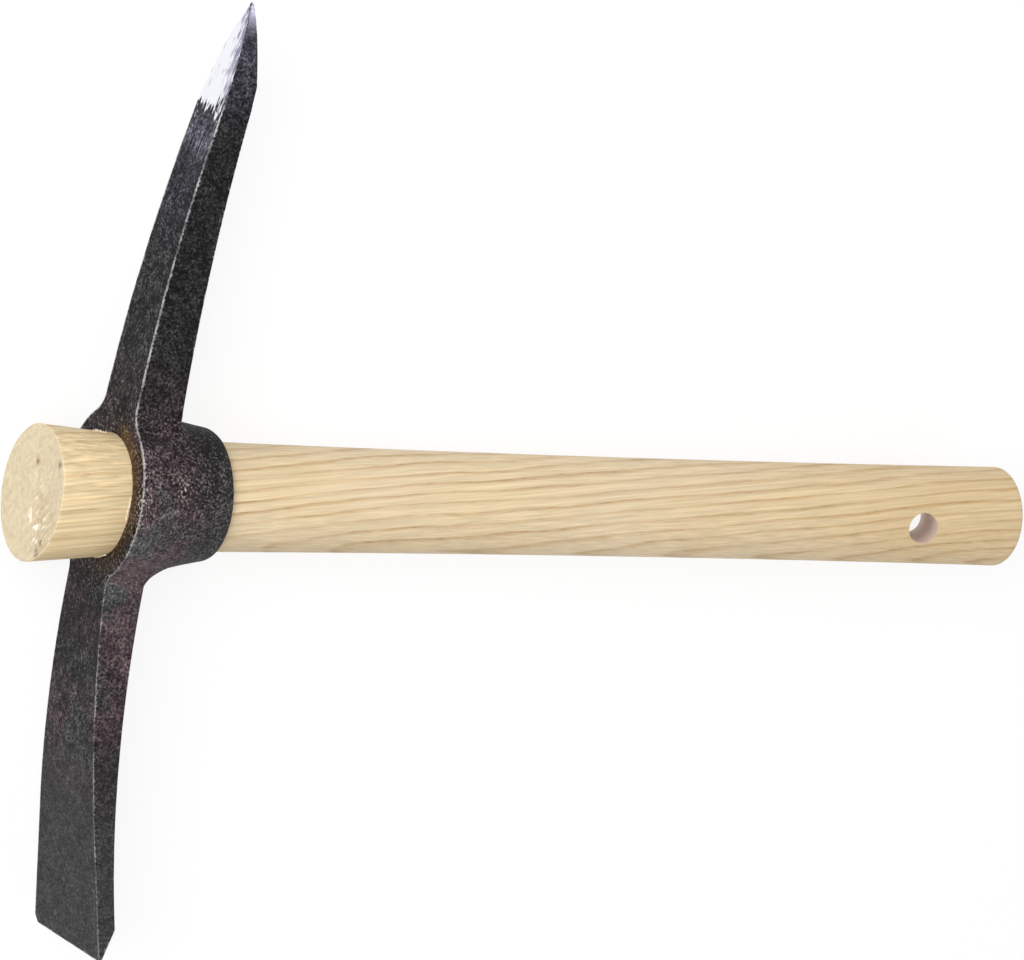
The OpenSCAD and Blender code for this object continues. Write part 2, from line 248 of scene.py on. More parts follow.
def ash_finish(settings):
    """Ash, turned and sanded, with no varnish: wide pale bands, fine tan lines of pores, a dull surface."""
    material, tree = new_material("ash_turned_bare")
    coords = put(tree, "ShaderNodeTexCoord", out="Object")
    place = put(tree, "ShaderNodeSeparateXYZ", {"Vector": coords}).node.outputs
    along_stick = place["X"]
    ends, drilled, tear, hollow_shade = (
        put(tree, "ShaderNodeAttribute", out="Fac", attribute_name=name)
        for name in ("end_grain", "drilled", "tear", "hollow_shade")
    )

    # The tree's heart lies beside the stick and runs at a small angle to it, so the rings cross the grip
    heart = put(
        tree,
        "ShaderNodeMapping",
        {
            "Vector": coords,
            "Location": (0.0, TOOL_AXIS_Y - 44 * MM, TOOL_AXIS_Z + 30 * MM),
            "Rotation": (0.0, math.radians(3.2), math.radians(4.9)),
        },
        vector_type="TEXTURE",
    )
    # Patterns drawn out along the grain: length and width in mm, detail and roughness.
    # Fibres and pores are drawn coarser than they are, so that they show
    drawn_out = {
        "waver": (32, 8, 2.0, 0.5),
        "strength": (70, 4.5, 2.0, 0.5),
        "fibres": (40, 0.7, 3.0, 0.6),
        "pores": (7, 0.5, 1.0, 0.5),
        "streaks": (80, 1.1, 2.0, 0.5),
    }
    grain = {}
    for name, (length, width, detail, roughness) in drawn_out.items():
        rates = (1 / (length * MM), 1 / (width * MM), 1 / (width * MM))
        grain_place = put(tree, "ShaderNodeVectorMath", {0: heart, 1: rates}, operation="MULTIPLY")
        grain[name] = put(
            tree,
            "ShaderNodeTexNoise",
            {"Vector": grain_place, "Scale": 1.0, "Detail": detail, "Roughness": roughness},
        )
    # The drift runs over about 110 mm along the grain and 38 mm across it
    drift_place = put(tree, "ShaderNodeVectorMath", {0: heart, 1: (9.0, 26.0, 26.0)}, operation="MULTIPLY")
    drift = put(
        tree,
        "ShaderNodeTexNoise",
        {"Vector": drift_place, "Scale": 1.0, "Detail": 1.5, "Roughness": 0.4},
        out="Color",
    )
    broad = put(tree, "ShaderNodeTexNoise", {"Vector": drift_place, "Scale": 2.6, "Detail": 2.0})
    # The saw has left the end grain fuzzy, in tufts of about 2 mm
    fuzz = put(
        tree,
        "ShaderNodeTexNoise",
        {"Vector": coords, "Scale": 1 / (2 * MM), "Detail": 4.0, "Roughness": 0.65},
    )

    # The rings sway once near the head and run on straight, and they drift and waver a little all along
    sway_end, sway_reach = -14.5 * MM, 1.15 * MM
    sway_rate, sway_start = 2 * math.pi / (110 * MM), 0.764 * math.pi
    along_sway = put(tree, "ShaderNodeMath", {0: along_stick, 1: sway_end}, operation="MINIMUM")
    sway_turn = put(
        tree, "ShaderNodeMath", {0: along_sway, 1: sway_rate, 2: sway_start}, operation="MULTIPLY_ADD"
    )
    sway = put(tree, "ShaderNodeMath", {0: sway_turn}, operation="SINE")
    sway_shift = put(tree, "ShaderNodeMath", {0: sway, 1: sway_reach}, operation="MULTIPLY")
    sideways = put(tree, "ShaderNodeCombineXYZ", {"Y": sway_shift})
    ring_place = put(tree, "ShaderNodeVectorMath", {0: heart, 1: sideways}, operation="ADD")
    for pattern, reach in ((drift, 5 * MM), (grain["waver"].node.outputs["Color"], 2.2 * MM)):
        centred = put(tree, "ShaderNodeVectorMath", {0: pattern, 1: (0.5, 0.5, 0.5)}, operation="SUBTRACT")
        shift = put(tree, "ShaderNodeVectorMath", {0: centred, 1: (0.0, reach, reach)}, operation="MULTIPLY")
        ring_place = put(tree, "ShaderNodeVectorMath", {0: ring_place, 1: shift}, operation="ADD")
    rings = put(
        tree,
        "ShaderNodeTexWave",
        {"Vector": ring_place, "Scale": 2 * math.pi / (20 * settings.ring_w), "Distortion": 0.0},
        out="Fac",
        wave_type="RINGS",
        rings_direction="X",
        wave_profile="SAW",
    )

    # Each level is read from a value over a range, and has the last two values at that range's ends
    ranges = {
        # A line of pores starts each spring and thins out towards the summer
        "line_fall": (rings, 0.88, 1.0, 1.0, 0.0),
        # Some years have left a strong line and others a faint one, and a line fades here and there
        "strength": (grain["strength"], 0.34, 0.64, 0.35, 1.2),
        "pore_dots": (grain["pores"], 0.56, 0.72, 0.0, 1.0),
        "fibre_shade": (grain["fibres"], 0.3, 0.7, 0.86, 1.12),
        "roughness": (grain["fibres"], 0.0, 1.0, 0.5, 0.72),
        # The stub above the head is yellower and more streaked than the grip, and its lines are fainter
        "side_lines": (along_stick, HEAD_HIGH.x, HEAD_LOW.x, 0.62, 0.45),
        "streak_depth": (along_stick, HEAD_HIGH.x, HEAD_LOW.x, 0.05, 0.16),
        "yellow": (along_stick, HEAD_HIGH.x, HEAD_LOW.x, 0.0, 0.45),
        "streak_side": (grain["streaks"], 0.35, 0.65, -1.0, 1.0),
        # Painted shade makes the grip darker and warmer towards its end, where the light falls off
        "grip_end_shade": (along_stick, 40 * MM, GRIP_END.x - 40 * MM, 0.0, 1.0),
        # The sawn end is painted darker on its near half, a painted shade for the shadows of its torn grain
        "fuzz_shade": (fuzz, 0.32, 0.68, 0.82, 1.08),
        "near_half_shade": (place["Z"], TOOL_AXIS_Z, TOOL_AXIS_Z + 16 * MM, 1.0, 0.93),
        # Where the saw tore the grain, the chips that stand up are pale and the pits are brown, partly the
        # torn wood's colour and partly a painted shade for the shadows in the torn band
        "chips": (tear, -0.05, -0.2, 0.0, 1.0),
        "pits": (tear, 0.08, 0.8, 0.0, 0.75),
    }
    level = {}
    for name, (value, low, high, at_low, at_high) in ranges.items():
        limits = {"From Min": low, "From Max": high, "To Min": at_low, "To Max": at_high}
        level[name] = put(tree, "ShaderNodeMapRange", {"Value": value, **limits})

    # How strong the lines of pores are, crisp on the spring's side and faint on the sawn end
    lines = put(
        tree,
        "ShaderNodeMapRange",
        {"Value": rings, "From Min": 0.5, "From Max": 0.9},
        interpolation_type="SMOOTHSTEP",
    )
    line_depth = put(
        tree, "ShaderNodeMapRange", {"Value": ends, "To Min": level["side_lines"], "To Max": 0.2}
    )
    for factor in (level["line_fall"], level["strength"], line_depth):
        lines = put(tree, "ShaderNodeMath", {0: lines, 1: factor}, operation="MULTIPLY")
    pores = put(tree, "ShaderNodeMath", {0: level["pore_dots"], 1: lines}, operation="MULTIPLY")
    tints = ((broad, "#e6cda0"), (level["yellow"], "#f2d8a2"), (lines, settings.tan_wood), (pores, "#a98455"))
    wood = linear(settings.pale_wood)
    for amount, tint in tints:
        wood = put(tree, "ShaderNodeMix", {0: amount, 6: wood, 7: linear(tint)}, data_type="RGBA")

    # Sides of the stick
    streaks = put(
        tree,
        "ShaderNodeMath",
        {0: level["streak_side"], 1: level["streak_depth"], 2: 1.0},
        operation="MULTIPLY_ADD",
    )
    side_light = put(tree, "ShaderNodeMath", {0: level["fibre_shade"], 1: streaks}, operation="MULTIPLY")
    side = put(tree, "ShaderNodeVectorMath", {0: wood, "Scale": side_light}, operation="SCALE")
    # Painted shade towards the grip's end
    grip_end_shade_tint = put(
        tree,
        "ShaderNodeMix",
        {0: level["grip_end_shade"], 6: (1.0, 1.0, 1.0, 1.0), 7: (0.94, 0.9, 0.82, 1.0)},
        data_type="RGBA",
    )
    colour = put(tree, "ShaderNodeVectorMath", {0: side, 1: grip_end_shade_tint}, operation="MULTIPLY")

    # Sawn end, and the hole's wall, which the drill has burnished to a greyish mauve in marks of 1 to 4 mm;
    # the wall is painted far paler than that, a painted light for the light that falls into the hole
    # The sawn end's fuzz, with the painted shade on its near half
    end_light = put(
        tree, "ShaderNodeMath", {0: level["fuzz_shade"], 1: level["near_half_shade"]}, operation="MULTIPLY"
    )
    end_pale = put(tree, "ShaderNodeMix", {0: 0.55, 6: wood, 7: linear("#cac1a9")}, data_type="RGBA")
    end_wood = put(tree, "ShaderNodeVectorMath", {0: end_pale, "Scale": end_light}, operation="SCALE")
    wall_place = put(
        tree, "ShaderNodeVectorMath", {0: coords, 1: (500.0, 900.0, 250.0)}, operation="MULTIPLY"
    )
    wall_noise = put(tree, "ShaderNodeTexNoise", {"Vector": wall_place, "Scale": 1.0, "Detail": 2.0})
    # The wall is painted near white, a painted light
    wall_painted_light = put(
        tree, "ShaderNodeMix", {0: wall_noise, 6: linear("#f6dccf"), 7: linear("#fff6ee")}, data_type="RGBA"
    )
    layers = (
        (ends, end_wood),
        (level["chips"], linear(settings.torn_wood)),
        # Brown pits, partly painted shade
        (level["pits"], linear("#b3946a")),
        # Painted shade in the sawn face's small holes and crack
        (hollow_shade, linear("#735a3a")),
        (drilled, wall_painted_light),
    )
    for amount, layer in layers:
        colour = put(tree, "ShaderNodeMix", {0: amount, 6: colour, 7: layer}, data_type="RGBA")

    height = put(tree, "ShaderNodeMath", {0: grain["fibres"], 1: lines}, operation="SUBTRACT")
    bump = put(tree, "ShaderNodeBump", {"Height": height, "Strength": 0.25, "Distance": 0.15 * MM})
    close_material(tree, {"Base Color": colour, "Roughness": level["roughness"], "Normal": bump, "IOR": 1.5})
    return material


def torn_ash_finish(settings):
    """Ash fibres torn by the saw and the eye's edge: paler than the sanded wood, dull and fuzzy."""
    material, tree = new_material("ash_torn_fibre")
    coords = put(tree, "ShaderNodeTexCoord", out="Object")
    fuzz = put(tree, "ShaderNodeTexNoise", {"Vector": coords, "Scale": 1 / (0.8 * MM), "Detail": 2.0})
    colour = put(
        tree,
        "ShaderNodeMix",
        {0: fuzz, 6: linear("#dcc397"), 7: linear(settings.torn_wood)},
        data_type="RGBA",
    )
    roughness = put(tree, "ShaderNodeMapRange", {"Value": fuzz, "To Min": 0.6, "To Max": 0.85})
    bump = put(tree, "ShaderNodeBump", {"Height": fuzz, "Strength": 0.4, "Distance": 0.1 * MM})
    close_material(tree, {"Base Color": colour, "Roughness": roughness, "Normal": bump})
    return material


# What the steel's finish reads from each point of the head
HEAD_MARKS = ("edge_gap_mm", "wear_mm", "ground_mm", "tone_and_shade", "speck", "flecked", "heated", "eye_top")


def forged_steel_finish(settings):
    """Drop-forged carbon steel: dark pitted scale with a brown bloom, bright where ground or worn."""
    material, tree = new_material("carbon_steel_forged")
    coords = put(tree, "ShaderNodeTexCoord", out="Object")
    place = put(tree, "ShaderNodeSeparateXYZ", {"Vector": coords}).node.outputs
    along_arms = place["Y"]
    edge_gap, wear_w, ground_l, tone_and_shade, speck, flecked, heated, eye_top = (
        put(tree, "ShaderNodeAttribute", out="Fac", attribute_name=name) for name in HEAD_MARKS
    )

    # Grains of scale, pits, patches and blooms: size in mm, detail and roughness
    grains, pits, patches, blooms = (
        put(
            tree,
            "ShaderNodeTexNoise",
            {"Vector": coords, "Scale": 1 / (size * MM), "Detail": detail, "Roughness": roughness},
        )
        for size, detail, roughness in ((0.85, 2.0, 0.55), (2.6, 2.0, 0.6), (7, 3.0, 0.7), (20, 4.0, 0.6))
    )
    # Grinding scratches run along the pick
    rates = (1 / (1.3 * MM), 1 / (40 * MM), 1 / (1.3 * MM))
    scratch_place = put(tree, "ShaderNodeVectorMath", {0: coords, 1: rates}, operation="MULTIPLY")
    scratches = put(
        tree, "ShaderNodeTexNoise", {"Vector": scratch_place, "Scale": 1.0, "Detail": 3.0, "Roughness": 0.65}
    )

    # Each level is read from a value over a range, and has the last two values at that range's ends
    ranges = {
        # The brown bloom lies on the eye and the blade's root, clear of the collar
        "off_collar": (place["X"], -131 * MM, -144 * MM, 0.0, 1.0),
        "off_pick": (along_arms, 48 * MM, 20 * MM, 0.0, 1.0),
        "off_blade": (along_arms, -112 * MM, -84 * MM, 0.0, 1.0),
        "eye_bloom": (along_arms, -30 * MM, -4 * MM, 0.0, 0.07),
        # Grains, pits and patches make the scale lighter and darker
        "grain_shade": (grains, 0.34, 0.68, -0.9, 1.5),
        "pit_shade": (pits, 0.35, 0.65, -0.48, 0.48),
        "patch_shade": (patches, 0.36, 0.64, -0.4, 0.4),
        "bump_strength": (speck, 0.0, 1.0, 0.12, 0.4),
        # Behind the point there are light scratches
        "brushed": (ground_l, -22.0, -12.0, 0.0, 1.0),
        "scratch_shade": (scratches, 0.36, 0.66, 0.1, 2.5),
        # The brown on the eye's top is lighter towards the pick
        "eye_top_brown_level": (along_arms, -16 * MM, 4 * MM, 0.6, 1.7),
        # Single grains have lost their scale
        "fleck_spots": (grains, 0.57, 0.66, 0.0, 1.0),
        # The worn line is duller where it is narrow, and where it was not knocked
        "line_share": (wear_w, 0.46, 0.72, 0.26, 1.0),
        "knocked": (patches, 0.38, 0.62, 0.3, 1.6),
        # The ground point is more ragged and more scratched beside its ridge
        "ragged_depth": (edge_gap, 1.0, 6.0, 48.0, 16.0),
        "beside_ridge": (edge_gap, 4.5, 0.4, 0.0, -0.17),
        "off_ridge": (edge_gap, 4.0, 8.0, 0.0, 0.12),
    }
    level = {}
    for name, (value, low, high, at_low, at_high) in ranges.items():
        limits = {"From Min": low, "From Max": high, "To Min": at_low, "To Max": at_high}
        level[name] = put(tree, "ShaderNodeMapRange", {"Value": value, **limits})

    bloom_level = put(tree, "ShaderNodeMath", {0: blooms, 1: level["eye_bloom"]}, operation="ADD")
    bloomed = put(tree, "ShaderNodeMapRange", {"Value": bloom_level, "From Min": 0.43, "From Max": 0.54})
    for zone in ("off_pick", "off_blade", "off_collar"):
        bloomed = put(tree, "ShaderNodeMath", {0: bloomed, 1: level[zone]}, operation="MULTIPLY")

    grain_light, pit_light, patch_light = (
        put(tree, "ShaderNodeMath", {0: level[name], 1: speck, 2: 1.0}, operation="MULTIPLY_ADD")
        for name in ("grain_shade", "pit_shade", "patch_shade")
    )
    rough_light = put(tree, "ShaderNodeMath", {0: grain_light, 1: 0.12}, operation="MAXIMUM")
    for factor in (pit_light, patch_light):
        rough_light = put(tree, "ShaderNodeMath", {0: rough_light, 1: factor}, operation="MULTIPLY")
    brush_light = put(
        tree, "ShaderNodeMix", {0: level["brushed"], 2: 1.0, 3: level["scratch_shade"]}, data_type="FLOAT"
    )
    scale_light = rough_light
    # The tone holds painted light and shade as well as the scale's own darkness
    for factor in (brush_light, tone_and_shade):
        scale_light = put(tree, "ShaderNodeMath", {0: scale_light, 1: factor}, operation="MULTIPLY")

    # The eye's top face is brown round the stub
    eye_top_brown_light = put(tree, "ShaderNodeMath", {0: rough_light, 1: 0.4, 2: 0.75}, operation="MULTIPLY_ADD")
    eye_top_brown_light = put(tree, "ShaderNodeMath", {0: eye_top_brown_light, 1: level["eye_top_brown_level"]}, operation="MULTIPLY")
    eye_top_brown = put(
        tree, "ShaderNodeVectorMath", {0: linear("#352716")[:3], "Scale": eye_top_brown_light}, operation="SCALE"
    )
    flecks = put(tree, "ShaderNodeMath", {0: level["fleck_spots"], 1: flecked}, operation="MULTIPLY")

    # The worn line along an edge breaks up where the grains stand low
    wear_shift = put(tree, "ShaderNodeMath", {0: wear_w, 1: -2.6}, operation="MULTIPLY")
    grains_centred = put(tree, "ShaderNodeMath", {0: grains, 1: 0.5}, operation="SUBTRACT")
    wear_gap = put(
        tree, "ShaderNodeMath", {0: grains_centred, 1: wear_shift, 2: edge_gap}, operation="MULTIPLY_ADD"
    )
    line_core = put(tree, "ShaderNodeMath", {0: wear_w, 1: 0.4}, operation="MULTIPLY")
    line = put(tree, "ShaderNodeMapRange", {"Value": wear_gap, "From Min": wear_w, "From Max": line_core})
    even_line = put(tree, "ShaderNodeMath", {0: line, 1: level["line_share"]}, operation="MULTIPLY")
    worn = put(
        tree, "ShaderNodeMath", {0: even_line, 1: level["knocked"]}, operation="MULTIPLY", use_clamp=True
    )

    # The ground point has a ragged border with the scale, and its deeper scratches look lavender
    scratches_centred = put(tree, "ShaderNodeMath", {0: scratches, 1: 0.5}, operation="SUBTRACT")
    ragged_l = put(
        tree,
        "ShaderNodeMath",
        {0: scratches_centred, 1: level["ragged_depth"], 2: ground_l},
        operation="MULTIPLY_ADD",
    )
    ground = put(tree, "ShaderNodeMapRange", {"Value": ragged_l, "From Min": -0.6, "From Max": 0.6})
    ridge_level = put(
        tree, "ShaderNodeMath", {0: level["beside_ridge"], 1: level["off_ridge"]}, operation="ADD"
    )
    scratch_level = put(tree, "ShaderNodeMath", {0: scratches, 1: ridge_level}, operation="ADD")
    shine = put(tree, "ShaderNodeMapRange", {"Value": scratch_level, "From Min": 0.32, "From Max": 0.52})
    bright = put(
        tree,
        "ShaderNodeMix",
        {0: shine, 6: linear("#8f8da6"), 7: linear(settings.steel_colour)},
        data_type="RGBA",
    )

    # From the scale outwards: bloom, heat tint, light and dark with painted light and shade, the eye top's
    # brown, flecks, worn line and ground point
    colour = linear(settings.scale_colour)
    for amount, tint in ((bloomed, settings.bloom_colour), (heated, settings.violet_colour)):
        colour = put(tree, "ShaderNodeMix", {0: amount, 6: colour, 7: linear(tint)}, data_type="RGBA")
    colour = put(tree, "ShaderNodeVectorMath", {0: colour, "Scale": scale_light}, operation="SCALE")
    layers = (
        (eye_top, eye_top_brown),
        (flecks, linear("#cfc7c4")),
        (worn, linear(settings.worn_colour)),
        (ground, bright),
    )
    for amount, layer in layers:
        colour = put(tree, "ShaderNodeMix", {0: amount, 6: colour, 7: layer}, data_type="RGBA")

    bare = put(tree, "ShaderNodeMath", {0: ground, 1: worn}, operation="MAXIMUM")
    roughness = put(tree, "ShaderNodeMapRange", {"Value": bare, "To Min": 0.62, "To Max": 0.36})
    rough_height = put(tree, "ShaderNodeMath", {0: grains, 1: pits}, operation="ADD")
    height = put(tree, "ShaderNodeMix", {0: ground, 2: rough_height, 3: scratches}, data_type="FLOAT")
    bump = put(
        tree, "ShaderNodeBump", {"Height": height, "Strength": level["bump_strength"], "Distance": 0.3 * MM}
    )
    close_material(
        tree,
        {
            "Base Color": colour,
            "Metallic": bare,
            "Roughness": roughness,
            "Normal": bump,
            # Matt iron oxide mirrors less than glass does
            "Specular IOR Level": 0.12,
        },
    )
    return material


# Geometry Nodes


def new_geometry_tree(name, inputs):
    """Makes a Geometry Nodes tree with a geometry input, the named inputs and a geometry output."""
    tree = bpy.data.node_groups.new(name, "GeometryNodeTree")
    tree.interface.new_socket("Geometry", in_out="INPUT", socket_type="NodeSocketGeometry")
    for label, kind in inputs.items():
        tree.interface.new_socket(label, in_out="INPUT", socket_type="NodeSocket" + kind)
    tree.interface.new_socket("Geometry", in_out="OUTPUT", socket_type="NodeSocketGeometry")
    return tree, put(tree, "NodeGroupInput").node.outputs


def close_geometry_tree(tree, geometry, material):
    """Ends a tree in Realize Instances and Set Material."""
    real = put(tree, "GeometryNodeRealizeInstances", {"Geometry": geometry})
    finished = put(tree, "GeometryNodeSetMaterial", {"Geometry": real, "Material": material})
    put(tree, "NodeGroupOutput", {"Geometry": finished})


def run_geometry_tree(name, start_mesh, tree, values):
    """Runs a tree on a start mesh and returns the result as an object with a plain mesh."""
    piece = bpy.data.objects.new(name, start_mesh)
    bpy.context.scene.collection.objects.link(piece)
    modifier = piece.modifiers.new(tree.name, "NODES")
    modifier.node_group = tree
    for item in tree.interface.items_tree:
        if item.in_out == "INPUT" and item.name in values:
            modifier[item.identifier] = values[item.name]
    evaluated = piece.evaluated_get(bpy.context.evaluated_depsgraph_get())
    made = bpy.data.meshes.new_from_object(evaluated)
    piece.modifiers.clear()
    piece.data = made
    if not made.polygons:
        raise RuntimeError(f"{name}: its node tree made no faces")
    made.materials.clear()
    made.materials.append(values["Finish"])
    made.polygons.foreach_set("material_index", [0] * len(made.polygons))
    return piece


def turned_stick_tree():
    """Turns an outline about the handle's axis, skews and tears its sawn end and drills the hanging hole."""
    tree, given = new_geometry_tree(
        "Turned Stick",
        {
            "Sides": "Int",
            "Path Radius": "Float",
            "Axis Place": "Vector",
            "Saw Rate": "Float",
            "Flare Length": "Float",
            "Tear Depth": "Float",
            "Tear Start": "Vector",
            "Tear Across": "Vector",
            "Tear Along": "Vector",
            "Hole Middle": "Vector",
            "Hole Turn": "Vector",
            "Hole Radius": "Float",
            "Hole Depth": "Float",
            "Finish": "Material",
        },
    )
    outline = put(tree, "GeometryNodeMeshToCurve", {"Mesh": given["Geometry"]})
    path = put(
        tree,
        "GeometryNodeCurvePrimitiveCircle",
        {"Resolution": given["Sides"], "Radius": given["Path Radius"]},
    )
    swept = put(tree, "GeometryNodeCurveToMesh", {"Curve": path, "Profile Curve": outline})
    laid = put(
        tree,
        "GeometryNodeTransform",
        {"Geometry": swept, "Translation": given["Axis Place"], "Rotation": Euler((0.0, math.pi / 2, 0.0))},
    )
    closed = put(tree, "GeometryNodeMergeByDistance", {"Geometry": laid, "Distance": 0.002 * MM})

    # Skew of the sawn end, fading out along the flare
    place = put(tree, "GeometryNodeInputPosition")
    from_axis = put(tree, "ShaderNodeVectorMath", {0: place, 1: given["Axis Place"]}, operation="SUBTRACT")
    parts = put(tree, "ShaderNodeSeparateXYZ", {"Vector": from_axis}).node.outputs
    fade = put(
        tree,
        "ShaderNodeMapRange",
        {
            "Value": parts["X"],
            "From Min": 0.0,
            "From Max": given["Flare Length"],
            "To Min": 1.0,
            "To Max": 0.0,
        },
    )
    slope = put(tree, "ShaderNodeMath", {0: parts["Y"], 1: given["Saw Rate"]}, operation="MULTIPLY")
    shift = put(tree, "ShaderNodeMath", {0: slope, 1: fade}, operation="MULTIPLY")
    skewed = put(
        tree,
        "GeometryNodeSetPosition",
        {"Geometry": closed, "Offset": put(tree, "ShaderNodeCombineXYZ", {"X": shift})},
    )

    # A band of torn fibres with a wavy border crosses the sawn face, and its chips lie at 45 degrees
    sawn = put(tree, "GeometryNodeInputNamedAttribute", {"Name": "sawn"}, data_type="FLOAT")
    from_tear = put(tree, "ShaderNodeVectorMath", {0: place, 1: given["Tear Start"]}, operation="SUBTRACT")
    across, along = (
        put(tree, "ShaderNodeVectorMath", {0: from_tear, 1: given[name]}, operation="DOT_PRODUCT")
        for name in ("Tear Across", "Tear Along")
    )
    turned = put(
        tree,
        "ShaderNodeVectorRotate",
        {"Vector": from_tear, "Angle": math.radians(45)},
        rotation_type="X_AXIS",
    )
    rates = (1 / (3 * MM), 1 / (1.6 * MM), 1 / (5 * MM))
    chip_place = put(tree, "ShaderNodeVectorMath", {0: turned, 1: rates}, operation="MULTIPLY")
    chips = put(
        tree, "ShaderNodeTexNoise", {"Vector": chip_place, "Scale": 1.0, "Detail": 3.0, "Roughness": 0.6}
    )
    wobble = put(tree, "ShaderNodeTexNoise", {"Vector": place, "Scale": 1 / (6 * MM), "Detail": 2.0})
    wobble_size = put(tree, "ShaderNodeMath", {0: wobble, 1: 6 * MM, 2: -3 * MM}, operation="MULTIPLY_ADD")
    wobbled = put(tree, "ShaderNodeMath", {0: across, 1: wobble_size}, operation="ADD")
    # Each level is read from a value over a range, and has the last two values at that range's ends
    ranges = {
        "band_in": (wobbled, -1 * MM, 1.5 * MM, 0.0, 1.0),
        "band_out": (wobbled, 3 * MM, 15 * MM, 1.0, 0.35),
        "low_share": (along, 8 * MM, 22 * MM, 0.35, 0.9),
        "pit": (chips, 0.4, 0.7, -0.25, 1.0),
    }
    level = {}
    for name, (value, low, high, at_low, at_high) in ranges.items():
        limits = {"From Min": low, "From Max": high, "To Min": at_low, "To Max": at_high}
        level[name] = put(tree, "ShaderNodeMapRange", {"Value": value, **limits})
    tear = level["band_in"]
    for factor in (level["band_out"], level["low_share"], sawn, level["pit"]):
        tear = put(tree, "ShaderNodeMath", {0: tear, 1: factor}, operation="MULTIPLY")
    tear_shift = put(tree, "ShaderNodeMath", {0: tear, 1: given["Tear Depth"]}, operation="MULTIPLY")
    marked = put(
        tree,
        "GeometryNodeStoreNamedAttribute",
        {"Geometry": skewed, "Name": "tear", "Value": tear},
        data_type="FLOAT",
        domain="POINT",
    )
    torn = put(
        tree,
        "GeometryNodeSetPosition",
        {"Geometry": marked, "Offset": put(tree, "ShaderNodeCombineXYZ", {"X": tear_shift})},
    )

    # The hanging hole, whose wall gets its own mark
    drill = put(
        tree,
        "GeometryNodeMeshCylinder",
        {"Vertices": 96, "Side Segments": 24, "Radius": given["Hole Radius"], "Depth": given["Hole Depth"]},
        fill_type="NGON",
    )
    marked_drill = put(
        tree,
        "GeometryNodeStoreNamedAttribute",
        {"Geometry": drill, "Name": "drilled", "Value": 1.0},
        data_type="FLOAT",
        domain="FACE",
    )
    set_drill = put(
        tree,
        "GeometryNodeTransform",
        {"Geometry": marked_drill, "Translation": given["Hole Middle"], "Rotation": given["Hole Turn"]},
    )
    drilled = put(
        tree,
        "GeometryNodeMeshBoolean",
        {"Mesh 1": torn, "Mesh 2": set_drill},
        operation="DIFFERENCE",
        solver="EXACT",
    )
    close_geometry_tree(tree, put(tree, "GeometryNodeSetShadeSmooth", {"Geometry": drilled}), given["Finish"])
    return tree


def sliver_tree():
    """Lays thin torn slivers of wood along a line, each turned and sized at random."""
    tree, given = new_geometry_tree(
        "Torn Slivers",
        {
            "Count": "Int",
            "Length": "Float",
            "Thickness": "Float",
            "Spread": "Vector",
            "Least Turn": "Vector",
            "Most Turn": "Vector",
            "Seed": "Int",
            "Finish": "Material",
        },
    )
    line = put(tree, "GeometryNodeMeshToCurve", {"Mesh": given["Geometry"]})
    points = put(tree, "GeometryNodeCurveToPoints", {"Curve": line, "Count": given["Count"]}, mode="COUNT")
    jitter = put(
        tree,
        "FunctionNodeRandomValue",
        {0: (0.0, 0.0, 0.0), 1: given["Spread"], "Seed": given["Seed"]},
        data_type="FLOAT_VECTOR",
    )
    spread = put(tree, "GeometryNodeSetPosition", {"Geometry": points, "Offset": jitter})
    sliver = put(
        tree,
        "GeometryNodeMeshCone",
        {
            "Vertices": 6,
            "Side Segments": 4,
            "Radius Top": 0.0,
            "Radius Bottom": given["Thickness"],
            "Depth": given["Length"],
        },
    )
    turn = put(
        tree,
        "FunctionNodeRandomValue",
        {0: given["Least Turn"], 1: given["Most Turn"], "Seed": given["Seed"]},
        data_type="FLOAT_VECTOR",
    )
    size = put(tree, "FunctionNodeRandomValue", {2: 0.35, 3: 1.0, "Seed": given["Seed"]}, data_type="FLOAT")
    placed = put(
        tree,
        "GeometryNodeInstanceOnPoints",
        {
            "Points": spread,
            "Instance": sliver,
            "Rotation": put(tree, "FunctionNodeEulerToRotation", {0: turn}),
            "Scale": size,
        },
    )
    close_geometry_tree(tree, placed, given["Finish"])
    return tree


# Pieces


def stick_radius(settings, x, length):
    """Gives the handle's radius at a distance from its sawn end: flare, seat, then the waisted grip."""
    if x < settings.flare_l:
        share = x / settings.flare_l
        return (settings.flare_d * (1 - share) + settings.seat_top_d * share) / 2
    if x < settings.seat_end:
        share = (x - settings.flare_l) / (settings.seat_end - settings.flare_l)
        return (settings.seat_top_d * (1 - share) + settings.seat_low_d * share) / 2
    share = (x - settings.seat_end) / (length - settings.end_round - settings.seat_end)
    bend = settings.seat_low_d * (1 - share) * (1 - 2 * share) + settings.waist_d * 4 * share * (1 - share)
    return (bend + settings.grip_d * share * (2 * share - 1)) / 2


